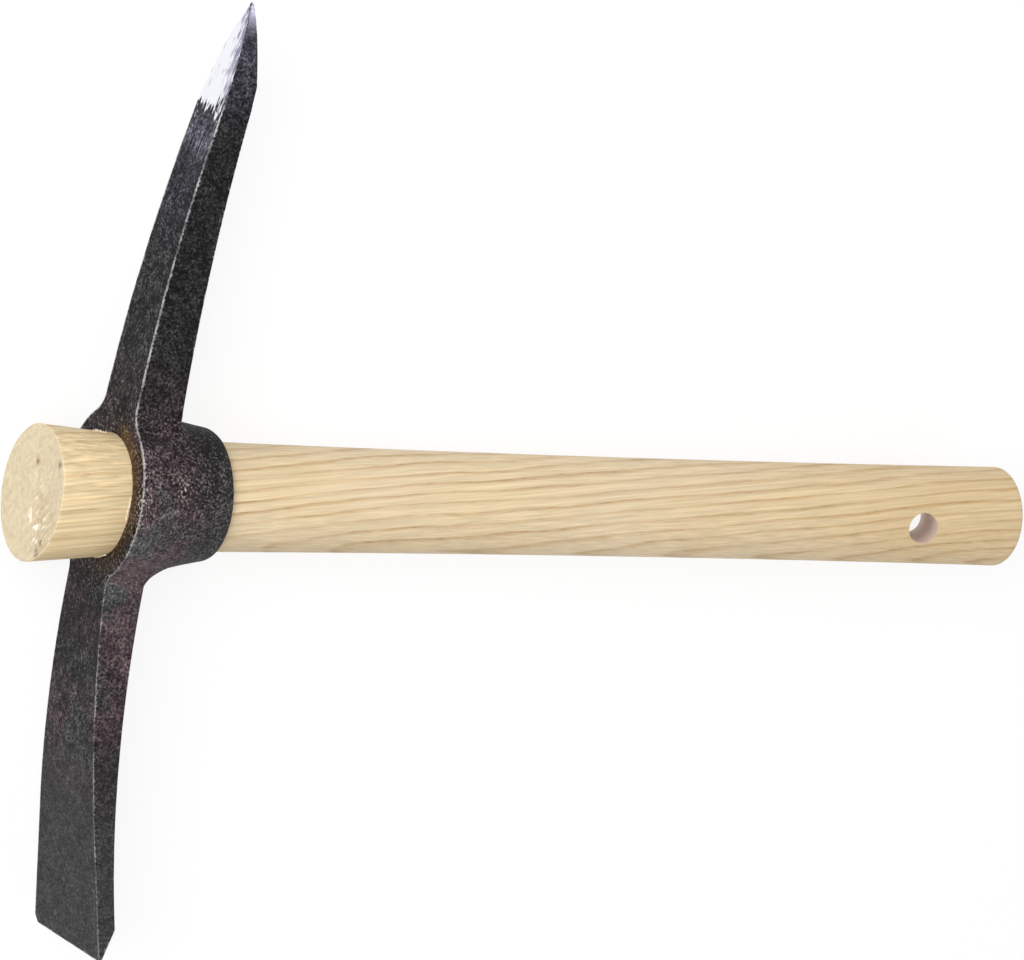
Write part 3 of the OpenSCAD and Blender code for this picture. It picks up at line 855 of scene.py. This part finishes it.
def handle_outline(settings, length, path_radius):
    """Makes half the handle's outline, from the middle of the sawn face to the middle of the grip end."""
    cap_step = 0.5 * MM
    side_step = 1.5 * MM
    quarter = [math.radians(90 * i / 5) for i in range(6)]

    inner = settings.flare_d / 2 - settings.saw_round
    count = round(inner / cap_step)
    points = [(0.0, inner * i / count) for i in range(count)]
    sawn_points = len(points)
    points += [
        (settings.saw_round * (1 - math.cos(a)), inner + settings.saw_round * math.sin(a))
        for a in quarter
    ]

    side_end = length - settings.end_round
    count = round((side_end - settings.saw_round) / side_step)
    side = [settings.saw_round + (side_end - settings.saw_round) * i / count for i in range(1, count)]
    points += [(x, stick_radius(settings, x, length)) for x in side]

    inner = settings.grip_d / 2 - settings.end_round
    points += [
        (side_end + settings.end_round * math.sin(a), inner + settings.end_round * math.cos(a))
        for a in quarter
    ]
    grip_points = len(points)
    count = round(inner / (3 * cap_step))
    points += [(length, inner * (1 - i / count)) for i in range(1, count + 1)]

    mesh = bpy.data.meshes.new("handle_outline")
    mesh.from_pydata(
        [(r - path_radius, -x, 0.0) for x, r in points], [(i, i + 1) for i in range(len(points) - 1)], []
    )
    sawn = [float(i < sawn_points) for i in range(len(points))]
    ends = [float(i < sawn_points + 2 or i > grip_points - 3) for i in range(len(points))]
    for name, values in (("sawn", sawn), ("end_grain", ends)):
        mesh.attributes.new(name, "FLOAT", "POINT").data.foreach_set("value", values)
    return mesh


# The torn band on the sawn face, as places across the face from the handle's axis
TEAR_TOP = Vector((0.0, 12 * MM, -2.5 * MM))
TEAR_LOW = Vector((0.0, -18 * MM, 10 * MM))

# Brown spots on the sawn face, in the same way: painted shade in its small holes and a crack, on brown wood
HOLLOW_SPOTS_MM = ((10.2, -0.5), (12.9, 15.4), (-13.3, 13.0), (-16.3, 11.5), (-18.0, 12.0))
HOLLOW_SPOTS = [Vector((0.0, y, z)) * MM for y, z in HOLLOW_SPOTS_MM]


def sawn_middle(settings):
    """Gives the place where the handle's axis meets the sawn end."""
    reach = settings.flare_d / 2 * math.tan(settings.saw_skew)
    return Vector((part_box("handle")[0].x + reach, TOOL_AXIS_Y, TOOL_AXIS_Z))


def mark_hollow_shade(mesh, settings):
    """Stores how brown the sawn face is at each point, from the painted shade of its small holes and crack.
    """
    middle = sawn_middle(settings)
    spot_radius = 1.1 * MM
    darkest = 0.85
    amounts = []
    for vertex, sawn in zip(mesh.vertices, mesh.attributes["sawn"].data):
        gaps = [math.hypot(vertex.co.y - middle.y - s.y, vertex.co.z - middle.z - s.z) for s in HOLLOW_SPOTS]
        amounts.append(darkest * math.exp(-((min(gaps) / spot_radius) ** 2)) * sawn.value)
    mesh.attributes.new("hollow_shade", "FLOAT", "POINT").data.foreach_set("value", amounts)


class PICKMATTOCK_OT_handle(bpy.types.Operator):
    """Turns the ash handle, with its sawn end, torn grain and hanging hole"""

    bl_idname = "pickmattock.handle"
    bl_label = "Turned Handle"

    def execute(self, context):
        settings = context.scene.mattock_handle
        start = sawn_middle(settings)
        path_radius = 1 * MM
        drill_spare = 12 * MM
        along_tear = (TEAR_LOW - TEAR_TOP).normalized()
        handle = run_geometry_tree(
            "ash_handle",
            handle_outline(settings, GRIP_END.x - start.x, path_radius),
            turned_stick_tree(),
            {
                "Sides": 192,
                "Path Radius": path_radius,
                "Axis Place": start,
                "Saw Rate": math.tan(settings.saw_skew),
                "Flare Length": settings.flare_l,
                "Tear Depth": settings.tear_depth,
                "Tear Start": start + TEAR_TOP,
                "Tear Across": Vector((0.0, along_tear.z, -along_tear.y)),
                "Tear Along": along_tear,
                "Hole Middle": HOLE_MIDDLE,
                "Hole Turn": Vector(HOLE_AXIS.to_track_quat("Z", "Y").to_euler()),
                "Hole Radius": HOLE_RADIUS,
                "Hole Depth": HOLE_LENGTH + drill_spare,
                "Finish": ash_finish(settings),
            },
        )
        mark_hollow_shade(handle.data, settings)
        handle.data.set_sharp_from_angle(angle=math.radians(40))
        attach(handle, "handle")
        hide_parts("handle")
        return {"FINISHED"}


class PICKMATTOCK_OT_fibres(bpy.types.Operator):
    """Lays torn fibres on the sawn end, and where the eye's edge has shaved the handle"""

    bl_idname = "pickmattock.fibres"
    bl_label = "Torn Fibres"

    def execute(self, context):
        settings = context.scene.mattock_handle
        middle = sawn_middle(settings)
        saw_rate = math.tan(settings.saw_skew)
        finish = torn_ash_finish(settings)
        tree = sliver_tree()

        def on_sawn_face(y, z):
            return middle + Vector((y * saw_rate, y, z)) * MM

        def at_eye_edge(x, degrees):
            place = HEAD_LOW.x + x * MM
            angle = math.radians(degrees)
            radius = stick_radius(settings, place - middle.x, GRIP_END.x - middle.x)
            return Vector(
                (place, TOOL_AXIS_Y + radius * math.sin(angle), TOOL_AXIS_Z + radius * math.cos(angle))
            )

        # The line that each tuft follows, how many slivers it has, their length, thickness and spread in mm,
        # and their least and most turn in degrees
        tufts = {
            "sawn_fibres": (
                [on_sawn_face(y, z) for y, z in ((0, 5), (-6, 8), (-13, 11))],
                (46, 3, 0.14, (0, 0, 7)),
                ((-68, -18, 0), (-22, -4, 0)),
            ),
            "sawn_flakes": (
                [on_sawn_face(y, z) for y, z in ((-5.4, 0.9), (-10.2, 3.1))],
                (14, 3.4, 0.6, (0, 0.6, 1.6)),
                ((-105, -18, 0), (-72, -6, 0)),
            ),
            "sawn_chips": (
                [on_sawn_face(y, z) for y, z in ((6.4, 0.2), (3.6, 0.8))],
                (7, 1.8, 0.35, (0, 0.5, 1.4)),
                ((-105, -18, 0), (-60, -6, 0)),
            ),
            "eye_burr_side": (
                [at_eye_edge(x, a) for x, a in ((2.2, 10), (2.0, 4), (1.75, -3), (1.45, -11))],
                (70, 1.2, 0.28, (-0.45, 0, 0.15)),
                ((-120, -25, 0), (-60, 25, 0)),
            ),
            "eye_burr_low": (
                [at_eye_edge(x, a) for x, a in ((0.6, -60), (0.45, -69), (0.35, -78))],
                (44, 1.3, 0.3, (-0.6, 0, 0)),
                ((-55, -40, 0), (20, 40, 0)),
            ),
            "eye_burr_top": (
                [at_eye_edge(x, a) for x, a in ((-2.4, 100), (-1.2, 96), (0.0, 90))],
                (26, 0.9, 0.24, (-0.5, 0, 0.2)),
                ((-125, -35, 0), (-60, 35, 0)),
            ),
        }
        for seed, (name, (line, (count, length, thickness, spread), turns)) in enumerate(tufts.items()):
            least, most = (Vector([math.radians(a) for a in turn]) for turn in turns)
            mesh = bpy.data.meshes.new(name)
            mesh.from_pydata(line, [(i, i + 1) for i in range(len(line) - 1)], [])
            values = {
                "Count": count,
                "Length": length * MM,
                "Thickness": thickness * MM,
                "Spread": Vector(spread) * MM,
                "Least Turn": least,
                "Most Turn": most,
                "Seed": seed,
                "Finish": finish,
            }
            tuft = run_geometry_tree(name, mesh, tree, values)
            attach(tuft, "handle")
        return {"FINISHED"}


# Anything on the head that is nearer to the handle's axis than this belongs to the bore
BORE_LIMIT = 22 * MM

# Where the scale has flaked off the eye's side in a small patch
FLAKED_PLACE = np.array((-147.6, 4.0, 53.1)) * MM

# How the finish changes along the head, as places in mm towards the pick's point and a value at each.
# The scale is darkest round the eye's top and on the pick, and lighter on the blade and behind the point; on
# the eye's side the tone also holds painted light low down towards the blade and painted shade up towards the
# pick
TOP_TONE = ((-130, 0.8), (-75, 0.58), (-65, 0.32), (-35, 0.23), (0, 0.48), (25, 0.31), (100, 0.34))
SIDE_TONE_AND_SHADE = (
    (-120, 0.95), (-96, 0.52), (-60, 0.95), (-20, 1.4), (18, 0.56),
    (30, 0.38), (60, 0.26), (122, 0.28), (134, 0.85),
)
# Its grains stand out most on the eye and the pick
TOP_SPECK = ((-105, 0.6), (-75, 1.5), (40, 1.8), (95, 1.9), (106, 0.9))
SIDE_SPECK = ((-130, 0.38), (-60, 1.0), (-30, 0.5), (-15, 0.7), (5, 1.1), (60, 1.3), (140, 1.1), (152, 0.15))
# Heat from grinding has tinted the top face behind the point, and the point's sides
TOP_HEAT = ((66, 0.0), (86, 1.0))
SIDE_HEAT = ((116, 0.0), (126, 1.0))
# The worn line is wide along the pick and the eye and narrow on the blade, as shares of its full width
WEAR_SHARE = ((-153, 0.8), (-148, 0.74), (-40, 0.82), (20, 1.0), (120, 1.0), (130, 0.7))
# Other edges are hardly worn: they count as this much further off, in mm
SPARE_GAP = ((-146, 0.0), (-143, 0.35), (-45, 0.35), (-40, 9.0), (40, 9.0), (45, 0.35))


class PICKMATTOCK_OT_head(bpy.types.Operator):
    """Finishes the forged head: even cells, worn edges, hammer marks and a ground point"""

    bl_idname = "pickmattock.head"
    bl_label = "Forged Head"

    def execute(self, context):
        settings = context.scene.mattock_head
        body = bmesh.new()
        body.from_mesh(frame["nodes"]["head"].data)
        bmesh.ops.remove_doubles(body, verts=body.verts, dist=0.001 * MM)
        body.normal_update()
        crisp, worn = edge_points(body)
        mesh = bpy.data.meshes.new("steel_head")
        body.to_mesh(mesh)
        body.free()
        head = bpy.data.objects.new("steel_head", mesh)
        context.scene.collection.objects.link(head)
        head.data = even_cells(context, head, settings.cell)
        finish_head(head.data, crisp, worn, settings, context.scene.mattock_handle)
        head.data.materials.append(forged_steel_finish(settings))
        head.data.shade_smooth()
        head.data.set_sharp_from_angle(angle=math.radians(35))
        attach(head, "head")
        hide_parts("head")
        return {"FINISHED"}


def edge_points(body):
    """Samples a mesh's outward edges clear of the bore: all of them, and those beside the top face."""
    least_angle = math.radians(30)
    step = 0.25 * MM
    rim_depth = 5 * MM
    eye_reach = 33 * MM
    facing_top = -0.8
    crisp, worn = [], []
    for edge in body.edges:
        if not edge.is_manifold or edge.calc_face_angle_signed() < least_angle:
            continue
        a, b = (v.co for v in edge.verts)
        middle = (a + b) / 2
        if math.hypot(middle.y - TOOL_AXIS_Y, middle.z - TOOL_AXIS_Z) < BORE_LIMIT:
            continue
        count = max(1, math.ceil((b - a).length / step))
        points = [a.lerp(b, i / count) for i in range(count + 1)]
        crisp += points
        # Below its rim, the eye has no worn edge
        off_top = middle.x > HEAD_LOW.x + rim_depth and abs(middle.y - TOOL_AXIS_Y) < eye_reach
        if min(face.normal.x for face in edge.link_faces) < facing_top and not off_top:
            worn += points
    return crisp, worn


def even_cells(context, head, cell):
    """Gives a mesh cells of one size, with its edges kept sharp, and makes sure that it is closed."""
    depth = 9
    span = HEAD_HIGH.y - HEAD_LOW.y
    for share in (1.0, 1.01, 0.99, 1.02, 0.98, 1.03):
        remesh = head.modifiers.new("Even Cells", "REMESH")
        remesh.mode = "SHARP"
        remesh.octree_depth = depth
        remesh.scale = span / (2**depth * cell * share)
        remesh.use_remove_disconnected = False
        made = bpy.data.meshes.new_from_object(head.evaluated_get(context.evaluated_depsgraph_get()))
        head.modifiers.clear()
        check = bmesh.new()
        check.from_mesh(made)
        closed = all(edge.is_manifold for edge in check.edges)
        check.free()
        if closed:
            return made
    raise RuntimeError("the head's mesh does not close")


def gaps_mm(points, places):
    """Measures how far each place is from the nearest of some points, in millimetres."""
    tree = kdtree.KDTree(len(points))
    for i, point in enumerate(points):
        tree.insert(point, i)
    tree.balance()
    return np.array([tree.find(place)[2] for place in places]) / MM


def read_rows(elements, name, width, kind=np.float32):
    """Reads one property of a mesh's elements into rows of numbers."""
    values = np.empty(len(elements) * width, kind)
    elements.foreach_get(name, values)
    return values.reshape(-1, width)


def ramp(values, low, high):
    """Runs from 0 to 1 as the values go from low to high."""
    return np.clip((values - low) / (high - low), 0, 1)


def hump(values, middle, reach):
    """Is 1 at the middle and falls off on both sides of it."""
    return np.exp(-(((values - middle) / reach) ** 2))


def along_head(y_mm, anchors):
    """Reads values off anchors that lie along the head."""
    return np.interp(y_mm, *zip(*anchors))


def shape_head(mesh, crisp_gaps, settings, stick):
    """Rounds the blends, grinds the tip and fits the bore. Gives places, normals and what is in the bore."""
    places = read_rows(mesh.vertices, "co", 3)
    edges = read_rows(mesh.edges, "vertices", 2, np.int32)

    # Clear of the crisp edges, draw each point towards its neighbours
    rounds, pull = 12, 0.5
    loose = ramp(crisp_gaps, 0.6, 2.1)[:, None] * pull
    neighbours = np.bincount(edges.ravel(), minlength=len(places))[:, None]
    for _ in range(rounds):
        sums = np.zeros_like(places)
        np.add.at(sums, edges[:, 0], places[edges[:, 1]])
        np.add.at(sums, edges[:, 1], places[edges[:, 0]])
        places += (sums / neighbours - places) * loose

    # The point is ground down to a small tip
    tip_reach, tip_pull = 12 * MM, np.array((0.6, 0.0, 0.6))
    tip = places[places[:, 1] > HEAD_HIGH.y - 0.5 * MM].mean(axis=0)
    pinch = ramp(places[:, 1], HEAD_HIGH.y - tip_reach, HEAD_HIGH.y)[:, None] ** 3 * tip_pull
    places += (tip - places) * pinch.astype(np.float32)
    mesh.vertices.foreach_set("co", places.ravel())
    mesh.update()
    normals = read_rows(mesh.vertex_normals, "vector", 3)

    # The bore follows the handle's seat at the fit's clearance
    start = sawn_middle(stick)
    from_axis = places - np.array((0.0, TOOL_AXIS_Y, TOOL_AXIS_Z), np.float32)
    from_axis[:, 0] = 0.0
    radii = np.linalg.norm(from_axis, axis=1)
    outward = from_axis / np.maximum(radii, MM)[:, None]
    in_bore = (radii < BORE_LIMIT) & ((normals * outward).sum(axis=1) < -0.5)
    seat = np.array([stick_radius(stick, x - start.x, GRIP_END.x - start.x) for x in places[in_bore, 0]])
    places[in_bore] += outward[in_bore] * (seat + settings.seat_gap - radii[in_bore])[:, None]
    return places, normals, in_bore


def mark_head(places, normals, crisp_gaps, worn, settings):
    """Works out what the finish reads from each point, in the order of HEAD_MARKS."""
    y_mm = places[:, 1] / MM
    tip_mm = HEAD_HIGH.y / MM
    point_mm = settings.point_l / MM
    ground_start = tip_mm - point_mm
    on_top = ramp(-normals[:, 0], 0.45, 0.7)

    def by_face(top, side):
        return side + on_top * (top - side)

    # The top face is ground from the point's start, the underside from further on, the sides only at the tip.
    # The last millimetre of the tip gets a value below the ground so that it stays darker, a painted shade on
    # the tip's blunt end
    ground = np.select(
        [
            y_mm > tip_mm - 1.0,
            y_mm > tip_mm - 2.8,
            crisp_gaps < 0.2,
            normals[:, 0] < -0.6,
            normals[:, 0] > 0.6,
        ],
        [
            -2.0,
            y_mm - (tip_mm - 5.0),
            np.minimum(y_mm - ground_start, 1.0),
            y_mm - ground_start,
            y_mm - (tip_mm - point_mm * 0.3),
        ],
        -60.0,
    )

    # Grinding has brightened a band behind the point and the sides of the tip
    top_tone = along_head(y_mm, TOP_TONE) + hump(y_mm, 114, 7)
    side_tone_and_shade = along_head(y_mm, SIDE_TONE_AND_SHADE) + 16 * ramp(y_mm, tip_mm - 14, tip_mm - 3) ** 3
    # On the eye, painted light and shade: lighter beside the top face and darker towards the collar, and
    # painted shade in the nook under the pick, whose faces turn away from the light
    near_eye = 1 - ramp(np.abs(y_mm - TOOL_AXIS_Y / MM), 28, 34)
    painted_collar_shade = np.interp(places[:, 0] / MM, [-156, -138], [1.25, 0.68])
    painted_nook_shade = 1 - 0.8 * ramp(normals[:, 1], 0.62, 0.87)
    side_tone_and_shade *= 1 + near_eye * (painted_collar_shade * painted_nook_shade - 1)
    tone_and_shade = by_face(top_tone, side_tone_and_shade)
    speck = by_face(along_head(y_mm, TOP_SPECK), along_head(y_mm, SIDE_SPECK))
    heated = by_face(along_head(y_mm, TOP_HEAT), along_head(y_mm, SIDE_HEAT))

    # Only the near ridge of the ground point counts as worn, and the near half of the eye is worn most
    worn_gaps = np.minimum(gaps_mm(worn, places), crisp_gaps + along_head(y_mm, SPARE_GAP))
    far_side = ramp(TOOL_AXIS_Z - places[:, 2], 0, 3 * MM)
    worn_gaps += 6 * far_side * ramp(y_mm, ground_start - 4, ground_start)
    near_half = places[:, 2] > TOOL_AXIS_Z
    wear = settings.wear_w / MM * along_head(y_mm, WEAR_SHARE) + 0.12 * hump(y_mm, 6, 14) * near_half
    beside_line = hump(y_mm, -1, 8) * near_half * hump(worn_gaps, 0, 3.5)
    flaked = hump(np.linalg.norm(places - FLAKED_PLACE, axis=1), 0, 2.6 * MM)
    flecked = np.clip(0.12 * near_eye + 0.04 + 0.95 * beside_line + 0.9 * flaked, 0, 1)

    eye_radii = np.hypot(places[:, 1] - TOOL_AXIS_Y, places[:, 2] - TOOL_AXIS_Z) / MM
    near_side = np.minimum(ramp(places[:, 2] - TOOL_AXIS_Z, 0, 7 * MM), 0.9)
    eye_top = ramp(-normals[:, 0], 0.65, 0.9) * (1 - ramp(eye_radii, 24, 27)) * near_side
    return worn_gaps, wear, ground, tone_and_shade, speck, flecked, heated, eye_top


def finish_head(mesh, crisp, worn, settings, stick):
    """Shapes the head, stores what its finish needs to know of each point and dents it with hammer marks."""
    crisp_gaps = gaps_mm(crisp, read_rows(mesh.vertices, "co", 3))
    places, normals, in_bore = shape_head(mesh, crisp_gaps, settings, stick)
    for name, values in zip(HEAD_MARKS, mark_head(places, normals, crisp_gaps, worn, settings)):
        mesh.attributes.new(name, "FLOAT", "POINT").data.foreach_set("value", values.astype(np.float32))

    # Hammer marks of 11 and 4 mm, shallow beside the crisp edges and none on the ground point or in the bore
    hammered = np.array(
        [noise.noise(Vector(p) / (11 * MM)) + 0.5 * noise.noise(Vector(p) / (4 * MM)) for p in places]
    )
    ground_start = HEAD_HIGH.y - settings.point_l
    off_point = 1 - ramp(places[:, 1], ground_start - 6 * MM, ground_start)
    calm = np.maximum(ramp(crisp_gaps, 0.5, 4.5), 0.15) * off_point * ~in_bore
    places += normals * (hammered * calm * settings.dent)[:, None]
    mesh.vertices.foreach_set("co", places.ravel())
    mesh.update()


class PICKMATTOCK_OT_stage(bpy.types.Operator):
    """Sets the floor, the lights and the camera"""

    bl_idname = "pickmattock.stage"
    bl_label = "Floor, Lights and Camera"

    def execute(self, context):
        settings = context.scene.mattock_stage
        scene = context.scene
        scene.view_settings.view_transform = "Standard"
        set_camera(scene, settings)
        set_sky(scene, settings)
        set_floor(scene)
        add_softbox(scene, "key_light", KEY_PLACE, KEY_SIZE, settings.key_power)
        return {"FINISHED"}


# The camera's place and turn at which the photograph was taken
CAMERA_PLACE = Vector((-872.15, 347.88, 1441.84)) * MM
CAMERA_TURN = Euler([math.radians(a) for a in (-16.6611, -29.2086, 9.7182)])

# A large soft light stands beyond the sawn end, nearly as high as the camera
KEY_PLACE = Vector((-1.15, 0.45, 1.25))
KEY_SIZE = 1.1


def set_camera(scene, settings):
    """Puts the camera where the photograph was taken from."""
    data = bpy.data.cameras.new("photo_camera")
    data.sensor_width = 36.0
    data.lens = settings.lens
    data.clip_end = 20.0
    camera = bpy.data.objects.new("photo_camera", data)
    camera.location = CAMERA_PLACE
    camera.rotation_euler = CAMERA_TURN
    scene.collection.objects.link(camera)
    scene.camera = camera


def seen_directly(tree):
    """Is one for rays that show the background: from the camera, by reflection or through glass."""
    path = put(tree, "ShaderNodeLightPath").node.outputs
    mirrored = put(
        tree, "ShaderNodeMath", {0: path["Is Camera Ray"], 1: path["Is Glossy Ray"]}, operation="MAXIMUM"
    )
    return put(tree, "ShaderNodeMath", {0: mirrored, 1: path["Is Transmission Ray"]}, operation="MAXIMUM")


def set_sky(scene, settings):
    """Lights from all around, and shows as plain white."""
    world = bpy.data.worlds.new("studio")
    world.use_nodes = True
    tree = world.node_tree
    tree.nodes.clear()
    strength = put(
        tree, "ShaderNodeMapRange", {"Value": seen_directly(tree), "To Min": settings.sky, "To Max": 1.0}
    )
    light = put(tree, "ShaderNodeBackground", {"Color": (1.0, 1.0, 1.0, 1.0), "Strength": strength})
    put(tree, "ShaderNodeOutputWorld", {"Surface": light})
    scene.world = world


def set_floor(scene):
    """Lays a pale floor that shows white and keeps a part of the tool's shadow."""
    half = 4.0
    paper_tone, glow, glow_share = 0.9, 1.06, 0.8
    material, tree = new_material("white_paper")
    paper = put(tree, "ShaderNodeBsdfDiffuse", {"Color": (paper_tone, paper_tone, paper_tone, 1.0)})
    white = put(tree, "ShaderNodeEmission", {"Color": (1.0, 1.0, 1.0, 1.0), "Strength": glow})
    share = put(tree, "ShaderNodeMath", {0: seen_directly(tree), 1: glow_share}, operation="MULTIPLY")
    mixed = put(tree, "ShaderNodeMixShader", {0: share, 1: paper, 2: white})
    put(tree, "ShaderNodeOutputMaterial", {"Surface": mixed})
    mesh = bpy.data.meshes.new("floor")
    mesh.from_pydata(
        [(-half, -half, 0), (half, -half, 0), (half, half, 0), (-half, half, 0)], [], [(0, 1, 2, 3)]
    )
    mesh.materials.append(material)
    floor = bpy.data.objects.new("floor", mesh)
    scene.collection.objects.link(floor)
    floor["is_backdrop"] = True


def add_softbox(scene, name, place, size, power):
    """Adds a large square lamp that looks at the tool."""
    data = bpy.data.lights.new(name, "AREA")
    data.shape = "SQUARE"
    data.size = size
    data.energy = power
    lamp = bpy.data.objects.new(name, data)
    lamp.location = place
    lamp.rotation_euler = (-place).to_track_quat("-Z", "Y").to_euler()
    scene.collection.objects.link(lamp)


class PICKMATTOCK_PT_sidebar(bpy.types.Panel):
    """Lists the steps in the order in which they run"""

    bl_idname = "PICKMATTOCK_PT_sidebar"
    bl_label = "Pick-Mattock"
    bl_space_type = "VIEW_3D"
    bl_region_type = "UI"
    bl_category = "Pick-Mattock"

    def draw(self, context):
        for step in STEPS:
            self.layout.operator(step.bl_idname)
        for group in SETTINGS:
            box = self.layout.box()
            settings = getattr(context.scene, group)
            for name in settings.bl_rna.properties.keys():
                if name not in {"rna_type", "name"}:
                    box.prop(settings, name)


SETTINGS = {"mattock_handle": HandleSettings, "mattock_head": HeadSettings, "mattock_stage": StageSettings}
STEPS = (PICKMATTOCK_OT_stage, PICKMATTOCK_OT_handle, PICKMATTOCK_OT_fibres, PICKMATTOCK_OT_head)


def register():
    """Registers the classes and gives the scene its settings."""
    for cls in (*SETTINGS.values(), *STEPS, PICKMATTOCK_PT_sidebar):
        bpy.utils.register_class(cls)
    for name, cls in SETTINGS.items():
        setattr(bpy.types.Scene, name, bpy.props.PointerProperty(type=cls))


def unregister():
    """Takes the settings and classes away again."""
    for name in SETTINGS:
        delattr(bpy.types.Scene, name)
    for cls in reversed((*SETTINGS.values(), *STEPS, PICKMATTOCK_PT_sidebar)):
        bpy.utils.unregister_class(cls)


def main():
    """Builds the whole tool."""
    register()
    bpy.ops.pickmattock.stage()
    bpy.ops.pickmattock.handle()
    bpy.ops.pickmattock.fibres()
    bpy.ops.pickmattock.head()
    boxes = {"cad": CAD_BOX, "visual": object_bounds()}
    {name: [[float(v) for v in corner] for corner in box] for name, box in boxes.items()}


if __name__ == "__main__":
    main()
